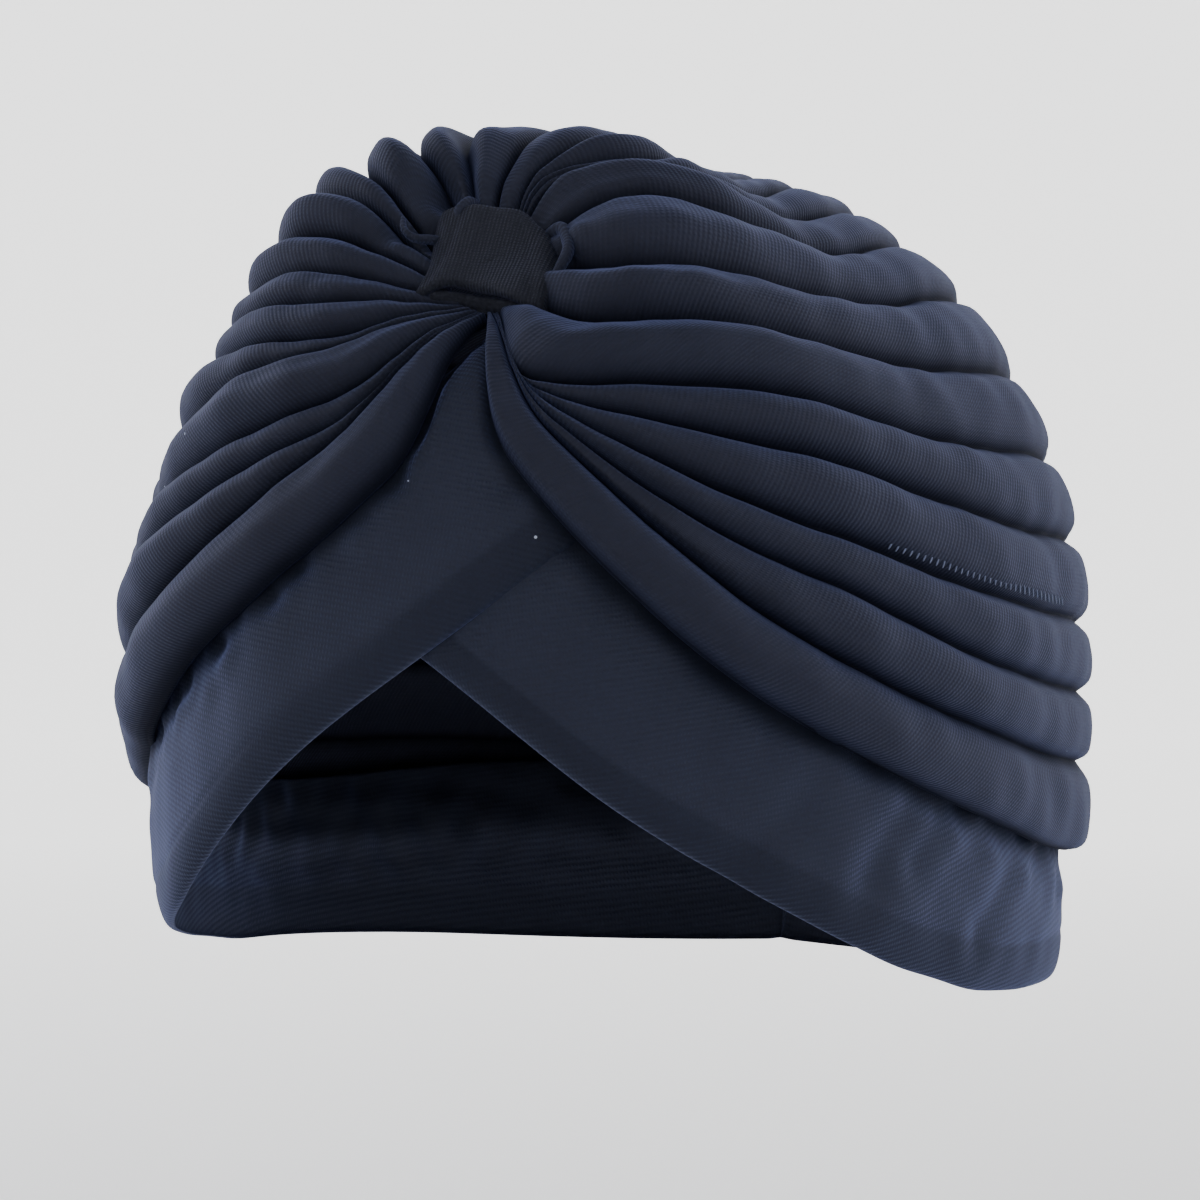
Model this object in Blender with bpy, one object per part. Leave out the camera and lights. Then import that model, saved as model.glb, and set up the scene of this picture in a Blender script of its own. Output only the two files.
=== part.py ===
import bpy
import bmesh
import numpy as np

# Sizes in metres. -Y is the face side, +X the wearer's left, +Z up. The origin is inside the wrap, on the
# head's axis, at the level of its widest ring.
crown_half_width = 0.0820
crown_front = 0.0945
crown_back = 0.1035
crown_height = 0.0955
side_drop = 0.220
crown_wall = 0.0019
roll_height = 0.0046
gather_height = 0.0016
pit_depth = 0.0110
petal_rise = 0.0024
band_wall = 0.0020
band_tuck = 0.0080
hem_round = 0.0010
dent_depth = 0.0016
cloth_gap = 0.0003
nest_gap = 0.0007
tab_half_width = 0.0112
tab_half_length = 0.0096
tab_wall = 0.0022
tab_bulge = 0.0022

# Roundness of the form: the power of its plan outline, how much narrower it is before the ears than behind
# them, and the powers of its profiles at degrees round from the front.
plan_power, egg = 2.1, 0.022
#             round  power
profiles = [
    (0, 2.65),
    (32, 2.4),
    (68, 1.92),
    (112, 2.1),
    (150, 2.15),
    (180, 2.15),
]

# The knot's place and the rim of gathers round it, in degrees.
knot_lift, knot_turn, rim_angle = 49.5, 3.5, 5.0
pit_spread = 11.0
petal_out, petal_spread, petal_way = 24.0, 12.0, 168.0

# The back seam's two ends, in degrees above the widest ring, and the stations along a fold from rim to seam.
seam_low, seam_high = -19.0, 74.0
near_share, quarter_share = 0.20, 0.52
near_station, quarter_station, side_station, rear_station = 0.12, 0.34, 0.64, 0.82
rear_inset, rear_share = 0.6, 0.25
side_lie, roll_lean = 0.32, 0.86

half_columns, crown_rows = 56, 20
band_step = 6.0

# Each row is a valley between two rolls: its direction round the knot in degrees (0 is toward the wearer's
# left, 90 is up) at the rim, near the knot and at the temple, then its angle above the ear line at the side,
# and how high the roll above it stands as a share of roll_height.
#                rim   near  temple  side  roll
left_folds = [
    (-88, -74, -47, -19, 1.00),
    (-81, -63, -39, -8, 1.00),
    (-79, -62, -31, 0.5, 0.90),
    (-78, -61, -26, 10, 0.95),
    (-77, -62, -14.5, 20, 1.00),
    (-74, -62, -5.5, 30, 1.05),
    (-45, -30, 7.5, 40.5, 1.00),
    (-14, -3, 20.5, 50.5, 1.00),
    (26, 32, 38, 58.5, 0.95),
    (50, 55, 50.5, 65, 0.90),
    (56, 58, 55, 71, 0.90),
    (60, 62, 64, 76, 0.95),
    (68, 70, 74, 81, 1.00),
    (80, 82, 84, 86, 1.00),
    (108, 110, 104, 90, 1.00),
]
right_folds = [
    (-90, -103, -139, -20, 1.00),
    (-94, -117, -149, -9, 1.00),
    (-96, -119, -157, 2, 1.00),
    (-99, -122, -163, 13, 1.00),
    (-106, -140, -171, 23, 1.00),
    (-116, -144, -180, 33, 0.80),
    (-124, -157, -184, 42, 0.90),
    (-136, -171, -190, 50, 1.00),
    (-162, -188, -200, 58, 1.15),
    (-186, -204, -212, 66, 1.25),
    (-208, -214, -226, 73, 1.25),
    (-226, -234, -239, 81, 1.20),
    (-252, -250, -256, 90, 1.00),
]

# The hems: degrees round the head from the front (plus is the wearer's left), then the hem's angle above
# the widest ring.
#            round   hem
over_hem = [
    (25, 24),
    (18, 18),
    (9, 11.5),
    (0, 5),
    (-9, -1),
    (-16, -6),
    (-22, -10.5),
    (-29, -16),
    (-35, -20),
    (-42, -24.5),
    (-58, -29.5),
    (-75, -32.5),
    (-95, -34),
    (-135, -32),
    (-180, -30.5),
]
under_hem = [
    (-16, 15),
    (-9, 11),
    (0, 6),
    (9, -1),
    (15, -5.8),
    (20, -10),
    (32, -17.5),
    (44, -23.5),
    (61, -31),
    (80, -35.4),
    (95, -35.8),
    (135, -33),
    (180, -30.5),
]
# Rows of a band from its hem up to its tucked edge, as shares of its height.
band_shares = (0.0, 0.05, 0.2, 0.42, 0.62, 0.78, 0.9, 1.0)
over_start, over_end = 24.0, -179.8
under_start, under_end = -16.0, 179.8
layer_from, layer_to = 30.0, 50.0
# The highest that each band reaches under the crown at the front, in degrees below the knot.
over_reach, under_reach = 8.0, 25.0
# A soft diagonal dent in the under band: round the head, height, spread, all in degrees.
dent_round, dent_lift, dent_spread, dent_slant = 52.0, -16.0, 7.0, 1.4


def unit(v):
    return v / np.linalg.norm(v, axis=-1, keepdims=True)


def ease(low, high, value):
    s = np.clip((value - low) / (high - low), 0.0, 1.0)
    return s * s * (3 - 2 * s)


def heading(turn, lift):
    turn, lift = np.radians(turn), np.radians(lift)
    return np.stack([np.sin(turn) * np.cos(lift), -np.cos(turn) * np.cos(lift), np.sin(lift) + 0 * turn], -1)


knot = heading(np.array(knot_turn), np.array(knot_lift))
knot_across = np.array([np.cos(np.radians(knot_turn)), np.sin(np.radians(knot_turn)), 0.0])
knot_up = np.cross(knot, knot_across)


def about_knot(distance, fan):
    distance, fan = np.radians(distance), np.radians(fan)
    return knot * np.cos(distance) + (knot_across * np.cos(fan) + knot_up * np.sin(fan)) * np.sin(distance)


def through_values(table, at):
    """A smooth curve through a table of (place, value) rows, level at both ends."""
    places, values = np.array(table, float).T
    slope = np.gradient(values, places)
    slope[0] = slope[-1] = 0
    i = np.clip(np.searchsorted(places, at, side="right") - 1, 0, len(places) - 2)
    span = places[i + 1] - places[i]
    f = np.clip((at - places[i]) / span, 0, 1)
    return ((2 * f ** 3 - 3 * f ** 2 + 1) * values[i] + (f ** 3 - 2 * f ** 2 + f) * span * slope[i]
            + (3 * f ** 2 - 2 * f ** 3) * values[i + 1] + (f ** 3 - f ** 2) * span * slope[i + 1])


def form(d):
    """Distance of the plain head form from the origin along the unit directions d."""
    flat = np.hypot(d[..., 0], d[..., 1]) + 1e-12
    aside, ahead = np.abs(d[..., 0]) / flat, np.abs(d[..., 1]) / flat
    front = d[..., 1] < 0
    length = np.where(front, crown_front, crown_back)
    ring = ((aside / crown_half_width) ** plan_power + (ahead / length) ** plan_power) ** (-1 / plan_power)
    ring = ring * (1 + egg * 2.6 * aside ** 3 * ahead * np.where(front, -1, 1))
    turn = np.degrees(np.arctan2(aside, np.where(front, ahead, -ahead)))
    power = through_values(profiles, turn)
    tall = np.where(d[..., 2] > 0, crown_height, side_drop)
    return ((flat / ring) ** power + (np.abs(d[..., 2]) / tall) ** power) ** (-1 / power)


def ground(d):
    """The surface that the valleys lie on: risen above the knot, and sunk to a pit at it."""
    away = np.degrees(np.arccos(np.clip(d @ knot, -1, 1)))
    way = np.arctan2(d @ knot_up, d @ knot_across) - np.radians(petal_way)
    above = (0.5 + 0.5 * np.cos(way)) ** 2
    rise = petal_rise * above * np.exp(-((away - petal_out) / petal_spread) ** 2)
    return form(d) + rise - pit_depth * np.exp(-(away / pit_spread) ** 2)


def through(points, stations, t):
    """A smooth curve through points at their stations; the first and last points only steer it."""
    p, s = np.array(points), np.array(stations)
    slope = (p[2:] - p[:-2]) / (s[2:] - s[:-2])[:, None]
    p, s = p[1:-1], s[1:-1]
    i = np.clip(np.searchsorted(s, t, side="right") - 1, 0, len(s) - 2)
    span = (s[i + 1] - s[i])[:, None]
    f = ((t - s[i]) / (s[i + 1] - s[i]))[:, None]
    return ((2 * f ** 3 - 3 * f ** 2 + 1) * p[i] + (f ** 3 - 2 * f ** 2 + f) * span * slope[i]
            + (3 * f ** 2 - 2 * f ** 3) * p[i + 1] + (f ** 3 - f ** 2) * span * slope[i + 1])


def valley(row, seam, hand, t):
    """Unit directions along one valley from the knot's rim to the back seam; hand is 1 or -1."""
    rim_fan, near_fan, temple_fan, side = row[:4]
    flank = np.array([hand * np.cos(np.radians(side)), 0.05, np.sin(np.radians(side))])
    flank = flank / np.linalg.norm(flank)
    reach = np.degrees(np.arccos(flank @ knot)) - rim_angle
    rim = about_knot(rim_angle, rim_fan)
    near = about_knot(rim_angle + near_share * reach, near_fan)
    temple = about_knot(rim_angle + quarter_share * reach, temple_fan)
    inset, rear = rear_inset * flank[0], np.sin(np.radians(seam + rear_share * (side - seam)))
    behind = np.array([inset, np.sqrt(1 - inset ** 2 - rear ** 2), rear])
    back = np.array([0.0, np.cos(np.radians(seam)), np.sin(np.radians(seam))])
    points = [2 * rim - near, rim, near, temple, flank, behind, back, behind * [-1, 1, 1]]
    stations = [-near_station, 0.0, near_station, quarter_station, side_station, rear_station, 1.0,
                2 - rear_station]
    return unit(through(points, stations, t))


def half_crown(folds, hand, columns, t):
    """Directions and roll heights of one half, from its lower edge up to the middle valley."""
    rolls = len(folds) - 1
    seams = [seam_low + (seam_high - seam_low) * round(i * columns / rolls) / columns for i in range(rolls + 1)]
    lines = [valley(row, seam, hand, t) for row, seam in zip(folds, seams)]
    along = np.interp(t, [0, near_station, quarter_station, side_station, 0.85, 1.0],
                      [0.8, 1.0, 0.92, side_lie, side_lie * 0.8, 0.0])
    directions, heights = [], []
    for i in range(rolls):
        first, last = round(i * columns / rolls), round((i + 1) * columns / rolls)
        width = np.linalg.norm(lines[i + 1] - lines[i], axis=-1) * crown_half_width
        tall = np.minimum(roll_height * folds[i][4], 0.42 * width) * along
        for k in range(first, last):
            share = (k - first) / (last - first)
            lean = share ** roll_lean
            round_part = (1 - abs(2 * lean - 1) ** 1.9) ** (1 / 1.9)
            directions.append(unit(lines[i] * (1 - share) + lines[i + 1] * share))
            heights.append(tall * round_part)
    directions.append(lines[-1])
    heights.append(0 * t)
    seam_line = np.radians(np.linspace(seam_low, seam_high, columns + 1))
    for k, angle in enumerate(seam_line):
        directions[k][-1] = (0.0, np.cos(angle), np.sin(angle))
    return np.array(directions), np.array(heights)


def cloth(name, colour, roughness):
    material = bpy.data.materials.new(name)
    material.use_nodes = True
    shader = material.node_tree.nodes["Principled BSDF"]
    shader.inputs["Base Color"].default_value = colour
    shader.inputs["Roughness"].default_value = roughness
    shader.inputs["Metallic"].default_value = 0.0
    return material


def wall_object(name, outer, inner, material, welded=False):
    """A closed cloth wall from two grids of points, outer and inner, indexed [column][row].

    welded joins the last row of each half to the other half's, as the back seam does."""
    mesh = bpy.data.meshes.new(name)
    bm = bmesh.new()
    last = len(outer) - 1
    rows = len(outer[0]) - 1
    skins = []
    for grid in (outer, inner):
        verts = []
        for k, line in enumerate(grid):
            column = [bm.verts.new(point) for point in line[:-1]]
            if welded and k > last // 2:
                column.append(verts[last - k][-1])
            else:
                column.append(bm.verts.new(line[-1]))
            verts.append(column)
        skins.append(verts)
    for k in range(last):
        for j in range(rows):
            a, b, c, d = [skins[0][m][n] for m, n in ((k, j), (k + 1, j), (k + 1, j + 1), (k, j + 1))]
            bm.faces.new((a, b, c, d))
            a, b, c, d = [skins[1][m][n] for m, n in ((k, j), (k + 1, j), (k + 1, j + 1), (k, j + 1))]
            bm.faces.new((d, c, b, a))
    border = [(k, 0) for k in range(last + 1)] + [(last, j) for j in range(1, rows + 1)]
    if not welded:
        border += [(k, rows) for k in range(last - 1, -1, -1)]
    border += [(0, j) for j in range(rows - 1, 0, -1)]
    for i, (k, j) in enumerate(border):
        m, n = border[(i + 1) % len(border)]
        bm.faces.new((skins[1][k][j], skins[1][m][n], skins[0][m][n], skins[0][k][j]))
    bmesh.ops.recalc_face_normals(bm, faces=bm.faces)
    bm.to_mesh(mesh)
    bm.free()
    mesh.shade_smooth()
    mesh.set_sharp_from_angle(angle=np.radians(60))
    mesh.materials.append(material)
    made = bpy.data.objects.new(name, mesh)
    bpy.context.scene.collection.objects.link(made)
    return made


def pleated_crown(material):
    t = np.interp(np.linspace(0, 1, crown_rows + 1), [0, 0.20, 0.36, 0.58, 1],
                  [0, near_station, quarter_station, side_station, 1])
    left, left_tall = half_crown(left_folds, 1, half_columns, t)
    right, right_tall = half_crown(right_folds, -1, half_columns, t)
    directions = np.concatenate([left, right[-2::-1]])
    heights = np.concatenate([left_tall, right_tall[-2::-1]])
    base = ground(directions)
    outer = directions * (base + heights)[..., None]
    inner = directions * (base - crown_wall + 0.85 * heights)[..., None]
    return wall_object("pleated_crown", outer, inner, material, welded=True)


def crown_edge(folds, hand, turns):
    """How high the crown's lower edge lies, in degrees, at each turn round the head."""
    line = valley(folds[0], seam_low, hand, np.linspace(0, 1, 400))
    turn = hand * np.degrees(np.arctan2(line[:, 0], -line[:, 1]))
    lift = np.degrees(np.arcsin(line[:, 2]))
    return np.interp(hand * turns, np.maximum.accumulate(turn), lift)


def band(name, hem, start, end, reach, layer, dent, material):
    """One side of the head band: a wall under the crown's lower rolls, down to its folded hem."""
    steps = round(abs(end - start) / band_step)
    turns = np.linspace(start, end, steps + 1)
    table = np.array(sorted(hem), float)
    low = np.interp(turns, table[:, 0], table[:, 1])
    for _ in range(2):
        low[1:-1] = 0.25 * low[:-2] + 0.5 * low[1:-1] + 0.25 * low[2:]
    edge = np.where(turns > knot_turn, crown_edge(left_folds, 1, turns), crown_edge(right_folds, -1, turns))
    tuck = np.degrees(band_tuck / crown_half_width)
    high = np.minimum(edge + tuck, knot_lift - reach)
    shares = np.array(band_shares)
    lifts = low[:, None] + (high - low)[:, None] * shares
    directions = heading(np.repeat(turns[:, None], len(shares), 1), lifts)
    top = ground(directions) - crown_wall - nest_gap - layer(turns)[:, None]
    if dent:
        across = turns[:, None] - dent_round + dent_slant * (lifts - dent_lift)
        top = top - dent_depth * np.exp(-(across / dent_spread) ** 2 - ((lifts - dent_lift) / dent_spread) ** 2)
    inner = directions * (top - band_wall)[..., None]
    outer = directions * (top - hem_round * np.clip(1 - shares / band_shares[2], 0, 1) ** 2)[..., None]
    if end < start:
        outer, inner = outer[::-1], inner[::-1]
    return wall_object(name, outer, inner, material)


def band_over(material):
    return band("band_over", over_hem, over_start, over_end, over_reach, lambda turns: 0 * turns, False, material)


def band_under(material):
    """The under band lies one wall deeper where the over band crosses it at the front."""
    depth = band_wall + nest_gap
    return band("band_under", under_hem, under_start, under_end, under_reach,
                lambda turns: depth * (1 - ease(layer_from, layer_to, turns)), True, material)


def knot_tab(material):
    """The strap over the gathers: narrower at its top, arched both ways, with rolled edges."""
    steps_across, steps_up = 10, 6
    outer, inner = [], []
    for i in range(steps_across + 1):
        a = -1 + 2 * i / steps_across
        outer_line, inner_line = [], []
        for j in range(steps_up + 1):
            b = -1 + 2 * j / steps_up
            half = tab_half_width * (0.86 - 0.14 * b)
            spot = knot * crown_height + knot_across * a * half + knot_up * b * tab_half_length
            d = spot / np.linalg.norm(spot)
            under = ground(d[None, :])[0] + gather_height + cloth_gap
            edge = (1 - abs(a) ** 4) * (1 - abs(b) ** 4)
            dome = (1 - a * a) * (1 - b * b)
            outer_line.append(d * (under + tab_wall * (0.35 + 0.65 * edge) + tab_bulge * dome))
            inner_line.append(d * under)
        outer.append(outer_line)
        inner.append(inner_line)
    return wall_object("knot_tab", outer, inner, material)


for item in list(bpy.data.objects):
    bpy.data.objects.remove(item, do_unlink=True)
jersey = (0.020, 0.024, 0.045, 1.0)
pleated_crown(cloth("pleated jersey", jersey, 0.75))
band_over(cloth("over band jersey", (0.018, 0.021, 0.038, 1.0), 0.78))
band_under(cloth("under band jersey", (0.016, 0.019, 0.034, 1.0), 0.78))
knot_tab(cloth("tab jersey", (0.012, 0.014, 0.026, 1.0), 0.80))
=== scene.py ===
import math
import bpy
import numpy as np
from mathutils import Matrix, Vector


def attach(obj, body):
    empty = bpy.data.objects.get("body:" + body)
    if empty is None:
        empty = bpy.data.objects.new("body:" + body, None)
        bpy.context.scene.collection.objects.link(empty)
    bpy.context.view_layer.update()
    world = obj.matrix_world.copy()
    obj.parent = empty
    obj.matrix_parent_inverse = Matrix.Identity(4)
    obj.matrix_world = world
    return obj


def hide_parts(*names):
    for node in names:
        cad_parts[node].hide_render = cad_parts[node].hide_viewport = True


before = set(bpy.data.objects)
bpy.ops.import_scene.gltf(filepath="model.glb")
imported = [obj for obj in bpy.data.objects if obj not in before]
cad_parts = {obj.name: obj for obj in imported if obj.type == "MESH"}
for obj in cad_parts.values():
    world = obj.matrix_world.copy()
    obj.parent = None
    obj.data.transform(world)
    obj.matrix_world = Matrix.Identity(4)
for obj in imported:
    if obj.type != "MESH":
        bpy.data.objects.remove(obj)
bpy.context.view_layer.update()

print("frame loaded:", sorted(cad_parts))

# Camera: the photograph sees the wrap from its wearer's left front.
view = {"azimuth": 21.0, "elevation": 3.0, "distance": 1.2, "across": 0.216, "aimRight": -0.0007, "aimUp": 0.014}


def placeCamera(look):
    az, el = math.radians(look["azimuth"]), math.radians(look["elevation"])
    back = Vector((math.sin(az) * math.cos(el), -math.cos(az) * math.cos(el), math.sin(el)))
    right = Vector((math.cos(az), math.sin(az), 0.0))
    camera = bpy.data.objects.new("camera", bpy.data.cameras.new("camera"))
    bpy.context.scene.collection.objects.link(camera)
    camera.location = right * look["aimRight"] + Vector((0, 0, look["aimUp"])) + back * look["distance"]
    camera.rotation_euler = back.to_track_quat("Z", "Y").to_euler()
    camera.data.sensor_width = 36.0
    camera.data.lens = 36.0 * look["distance"] / look["across"]
    camera.data.clip_start = 0.01
    bpy.context.scene.camera = camera


placeCamera(view)

# The head form that all the cloth lies on (metres; angles in degrees).
head = {"halfWidth": 0.0820, "front": 0.0945, "back": 0.1035, "height": 0.0955, "drop": 0.220,
        "planPower": 2.1, "egg": 0.022,
        "profiles": [(0, 2.65), (32, 2.4), (68, 1.92), (112, 2.1), (150, 2.15), (180, 2.15)],
        "pitDepth": 0.0110, "pitSpread": 11.0, "petalRise": 0.0053, "petalOut": 21.0, "petalSpread": 12.0,
        "petalWay": 148.0, "dip": 0.0098, "dipOut": 43.0, "dipSpread": 14.0, "dipWay": 124.0}


def unitVector(v):
    return v / np.linalg.norm(v, axis=-1, keepdims=True)


def ease(low, high, value):
    s = np.clip((value - low) / (high - low), 0.0, 1.0)
    return s * s * (3 - 2 * s)


def heading(turn, lift):
    turn, lift = np.radians(turn), np.radians(lift)
    return np.stack([np.sin(turn) * np.cos(lift), -np.cos(turn) * np.cos(lift), np.sin(lift) + 0 * turn], -1)


knotLift, knotTurn, rimAngle = 49.5, 3.5, 5.0
knot = heading(np.array(knotTurn), np.array(knotLift))
knotAcross = np.array([math.cos(math.radians(knotTurn)), math.sin(math.radians(knotTurn)), 0.0])
knotUp = np.cross(knot, knotAcross)


def aboutKnot(distance, fan):
    distance, fan = np.radians(distance)[..., None], np.radians(fan)[..., None]
    return knot * np.cos(distance) + (knotAcross * np.cos(fan) + knotUp * np.sin(fan)) * np.sin(distance)


def throughValues(table, at):
    places, values = np.array(table, float).T
    slope = np.gradient(values, places)
    slope[0] = slope[-1] = 0
    i = np.clip(np.searchsorted(places, at, side="right") - 1, 0, len(places) - 2)
    span = places[i + 1] - places[i]
    f = np.clip((at - places[i]) / span, 0, 1)
    return ((2 * f ** 3 - 3 * f ** 2 + 1) * values[i] + (f ** 3 - 2 * f ** 2 + f) * span * slope[i]
            + (3 * f ** 2 - 2 * f ** 3) * values[i + 1] + (f ** 3 - f ** 2) * span * slope[i + 1])


def headForm(d):
    flat = np.hypot(d[..., 0], d[..., 1]) + 1e-12
    aside, ahead = np.abs(d[..., 0]) / flat, np.abs(d[..., 1]) / flat
    front = d[..., 1] < 0
    length = np.where(front, head["front"], head["back"])
    power = head["planPower"]
    ring = ((aside / head["halfWidth"]) ** power + (ahead / length) ** power) ** (-1 / power)
    ring = ring * (1 + head["egg"] * 2.6 * aside ** 3 * ahead * np.where(front, -1, 1))
    turn = np.degrees(np.arctan2(aside, np.where(front, ahead, -ahead)))
    power = throughValues(head["profiles"], turn)
    tall = np.where(d[..., 2] > 0, head["height"], head["drop"])
    return ((flat / ring) ** power + (np.abs(d[..., 2]) / tall) ** power) ** (-1 / power)


def ground(d):
    away = np.degrees(np.arccos(np.clip(d @ knot, -1, 1)))
    way = np.arctan2(d @ knotUp, d @ knotAcross) - math.radians(head["petalWay"])
    above = (0.5 + 0.5 * np.cos(way)) ** 2
    rise = head["petalRise"] * above * np.exp(-((away - head["petalOut"]) / head["petalSpread"]) ** 2)
    # Behind the petals the top of the wrap lies a little lower than their tips.
    behind = (0.5 + 0.5 * np.cos(way + math.radians(head["petalWay"] - head["dipWay"]))) ** 5
    rise = rise - head["dip"] * behind * np.exp(-((away - head["dipOut"]) / head["dipSpread"]) ** 2)
    return headForm(d) + rise - head["pitDepth"] * np.exp(-(away / head["pitSpread"]) ** 2)


# A smooth random field of about -1 to 1 over the points, with bumps about size metres across.
def unevenness(points, size, seed, stretch=(1, 1, 1)):
    pick = np.random.RandomState(seed)
    ways = unitVector(pick.normal(size=(14, 3))) * (2 * math.pi / size * pick.uniform(0.55, 1.3, (14, 1)))
    return np.sin((points * np.array(stretch)) @ ways.T + pick.uniform(0, 2 * math.pi, 14)).sum(-1) / math.sqrt(14)


# Meshes from grids of points.


# A closed cloth wall from two grids of points, outer and inner, indexed [column][row], with its UV map in metres.
def clothWall(name, outer, inner, uv, material, painted_shade_and_hem=None):
    columns, rows = outer.shape[:2]
    points = np.concatenate([outer.reshape(-1, 3), inner.reshape(-1, 3)])
    spots = np.concatenate([uv.reshape(-1, 2), uv.reshape(-1, 2)])
    index = np.arange(columns * rows).reshape(columns, rows)
    quads = np.stack([index[:-1, :-1], index[1:, :-1], index[1:, 1:], index[:-1, 1:]], -1).reshape(-1, 4)
    border = np.concatenate([index[:, 0], index[-1, 1:], index[-2::-1, -1], index[0, -2:0:-1]])
    after = np.roll(border, -1)
    skin = columns * rows
    rim = np.stack([border + skin, after + skin, after, border], -1)
    faces = np.concatenate([quads, quads[:, ::-1] + skin, rim])
    middle = points[faces].mean(1)
    a, b, c = points[faces[:, 0]], points[faces[:, 1]], points[faces[:, 2]]
    facing = (np.cross(b - a, c - a) * middle).sum(-1)[:len(quads)]
    if np.median(facing) < 0:
        faces = faces[:, ::-1]
    mesh = bpy.data.meshes.new(name)
    mesh.vertices.add(len(points))
    mesh.vertices.foreach_set("co", points.ravel())
    mesh.loops.add(faces.size)
    mesh.loops.foreach_set("vertex_index", faces.ravel().astype(np.int32))
    mesh.polygons.add(len(faces))
    mesh.polygons.foreach_set("loop_start", np.arange(0, faces.size, 4, dtype=np.int32))
    mesh.polygons.foreach_set("use_smooth", np.ones(len(faces), dtype=bool))
    layer = mesh.uv_layers.new(name="cloth")
    layer.data.foreach_set("uv", spots[faces.ravel()].astype(np.float32).ravel())
    # Painted shade: a mark per point that the jersey material reads to darken the colour and weaken the sheen.
    if painted_shade_and_hem is not None:
        depth = mesh.attributes.new("painted_shade_and_hem", "FLOAT", "POINT")
        depth.data.foreach_set("value", np.tile(painted_shade_and_hem.ravel(), 2).astype(np.float32))
    mesh.update()
    mesh.validate()
    mesh.materials.append(material)
    made = bpy.data.objects.new(name, mesh)
    bpy.context.scene.collection.objects.link(made)
    print(name, len(faces) * 2, "triangles")
    return made


# Materials.


def hexColour(text):
    parts = [int(text[i:i + 2], 16) / 255 for i in (1, 3, 5)]
    return tuple(c / 12.92 if c <= 0.04045 else ((c + 0.055) / 1.055) ** 2.4 for c in parts) + (1.0,)


def addNode(tree, kind, inputs=None, **settings):
    node = tree.nodes.new(kind)
    for name, value in settings.items():
        setattr(node, name, value)
    for name, value in (inputs or {}).items():
        if isinstance(value, bpy.types.NodeSocket):
            tree.links.new(value, node.inputs[name])
        else:
            node.inputs[name].default_value = value
    return node


def maths(tree, operation, a, b=0.0, c=0.0, clamp=False):
    node = addNode(tree, "ShaderNodeMath", {0: a, 1: b, 2: c}, operation=operation, use_clamp=clamp)
    return node.outputs[0]


jerseyLook = {"wale": 0.00092, "course": 0.00062, "waver": 0.30, "waverSize": 260.0, "flecks": 1500.0,
              "patches": 38.0, "lint": 85.0, "lintSize": 0.022, "lintFrom": 0.8, "bump": 0.00016,
              "smoother": -0.6, "darker": -0.8, "gloss": 0.30}


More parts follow.
